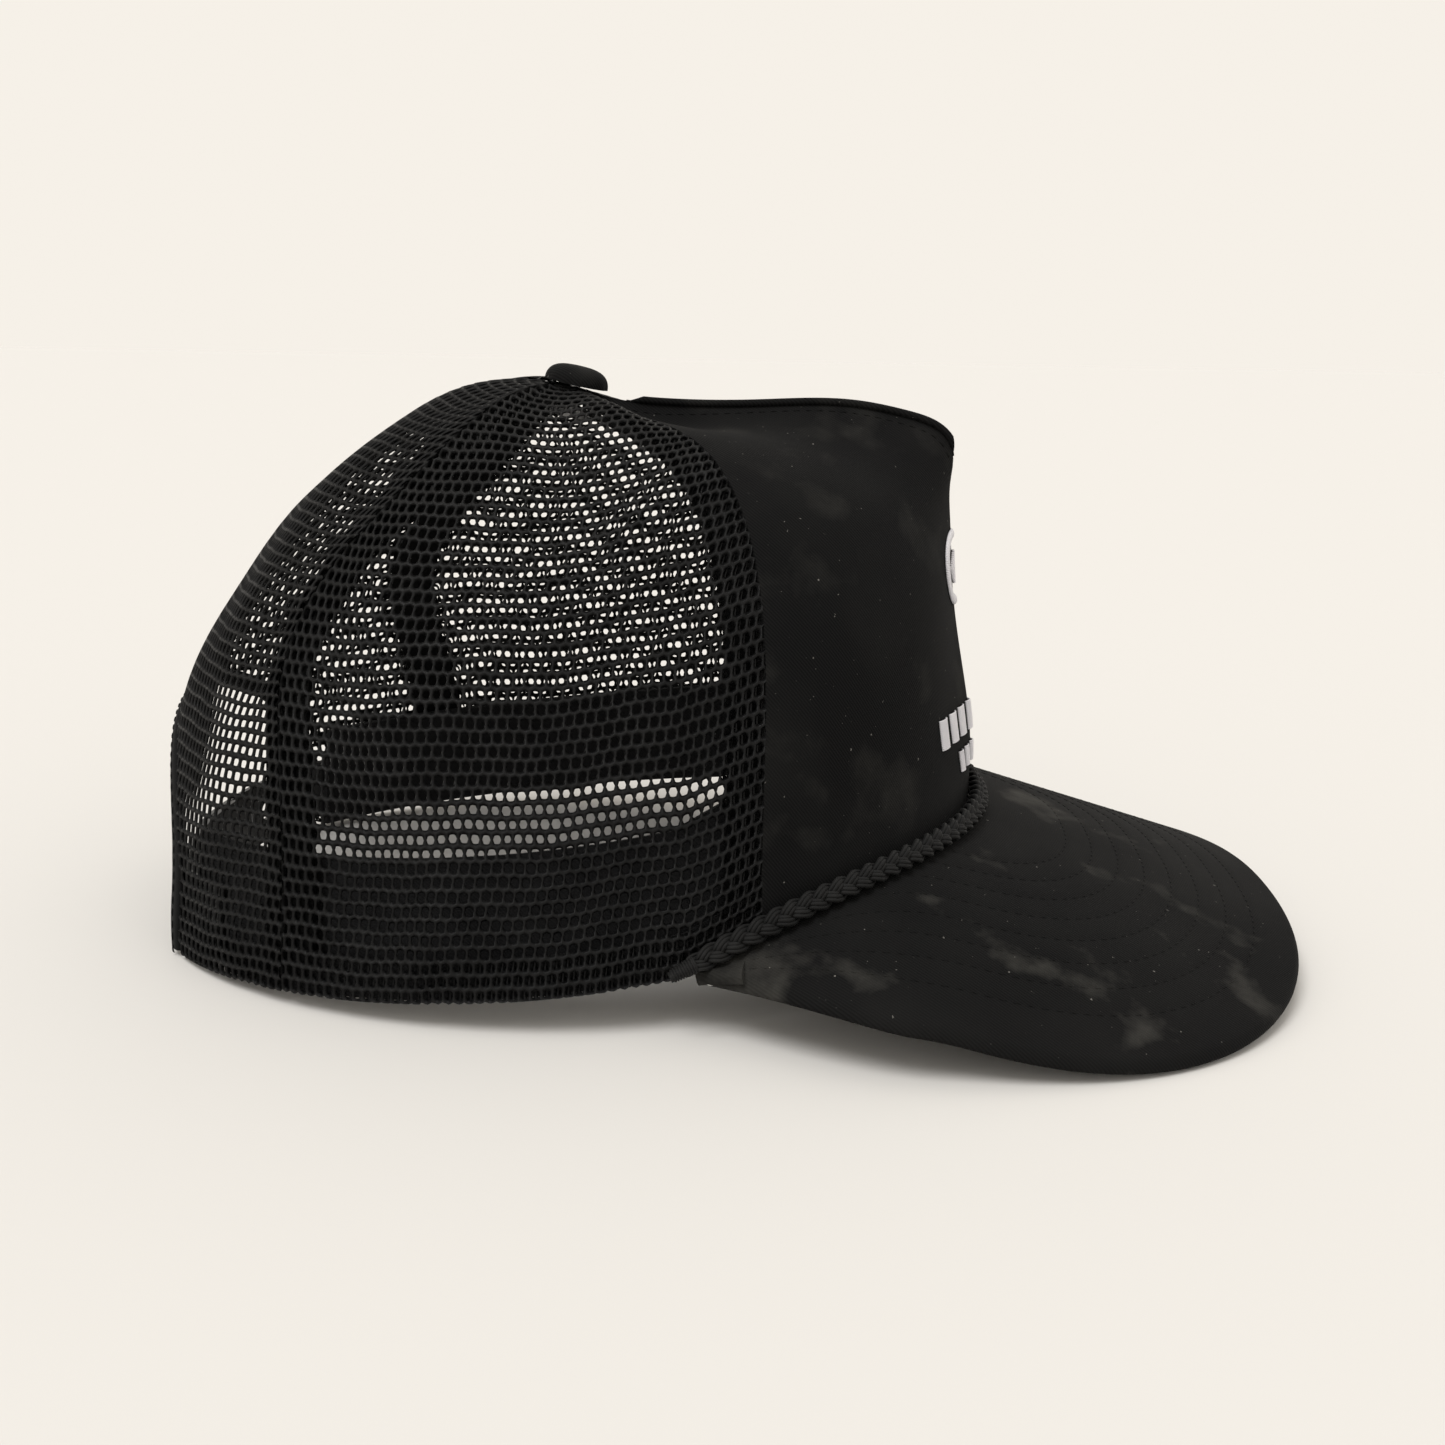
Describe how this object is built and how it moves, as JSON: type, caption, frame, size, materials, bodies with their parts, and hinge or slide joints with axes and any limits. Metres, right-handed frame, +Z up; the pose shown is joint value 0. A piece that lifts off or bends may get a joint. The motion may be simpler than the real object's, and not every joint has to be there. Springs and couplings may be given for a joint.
{
  "type": "trucker cap",
  "caption": "Trucker cap with a stiff pinched front panel, mesh sides and back, curved stitched visor, braided rope and rear snap strap.",
  "frame": {"origin": "on the table the cap stands on, under the middle of its box", "axes": "+X towards the visor's tip, +Y to the wearer's left, +Z up"},
  "size_m": [0.2713, 0.1892, 0.1338],
  "materials": {
    "twill": "black cotton twill, dull, with a fine diagonal rib",
    "mesh": "black warp-knit net of nylon, slightly glossy",
    "backing": "stiff foam-backed buckram",
    "tape": "black woven tape",
    "board": "moulded sheet",
    "sweatband": "black brushed cotton band",
    "rope": "black plaited cord with a soft sheen",
    "strap_plastic": "black moulded plastic, satin",
    "metal": "tinned sheet",
    "thread": "white satin-stitched thread"
  },
  "bodies": {
    "root": {"arch_binding": "tape", "button_cover": "twill", "button_prong": "metal", "button_shell": "metal", "button_washer": "metal", "emblem": "thread", "front_backing": "backing", "front_panel": "twill", "mesh_back_left": "mesh", "mesh_back_right": "mesh", "mesh_side_left": "mesh", "mesh_side_right": "mesh", "ridge_welt": "twill", "rope": "rope", "rope_end_left": "rope", "rope_end_right": "rope", "strap_root_left": "strap_plastic", "strap_root_right": "strap_plastic", "sweatband": "sweatband", "tape_back": "tape", "tape_front_left": "tape", "tape_front_right": "tape", "tape_rear_left": "tape", "tape_rear_right": "tape", "visor_board": "board", "visor_top_cover": "twill", "visor_under_cover": "twill"},
    "holes_strap": {"strap_holes": "strap_plastic"},
    "pegs_strap": {"strap_pegs": "strap_plastic"}
  },
  "joints": [
    {"name": "holes_strap_swing", "type": "hinge", "parent": "root", "child": "holes_strap", "pos_m": [-0.12545, 0.043, 0.0111], "axis": [0, 0, -1], "range_deg": [0, 70]},
    {"name": "pegs_strap_swing", "type": "hinge", "parent": "root", "child": "pegs_strap", "pos_m": [-0.12384, -0.043, 0.0111], "axis": [0, 0, -1], "range_deg": [0, 35]}
  ]
}
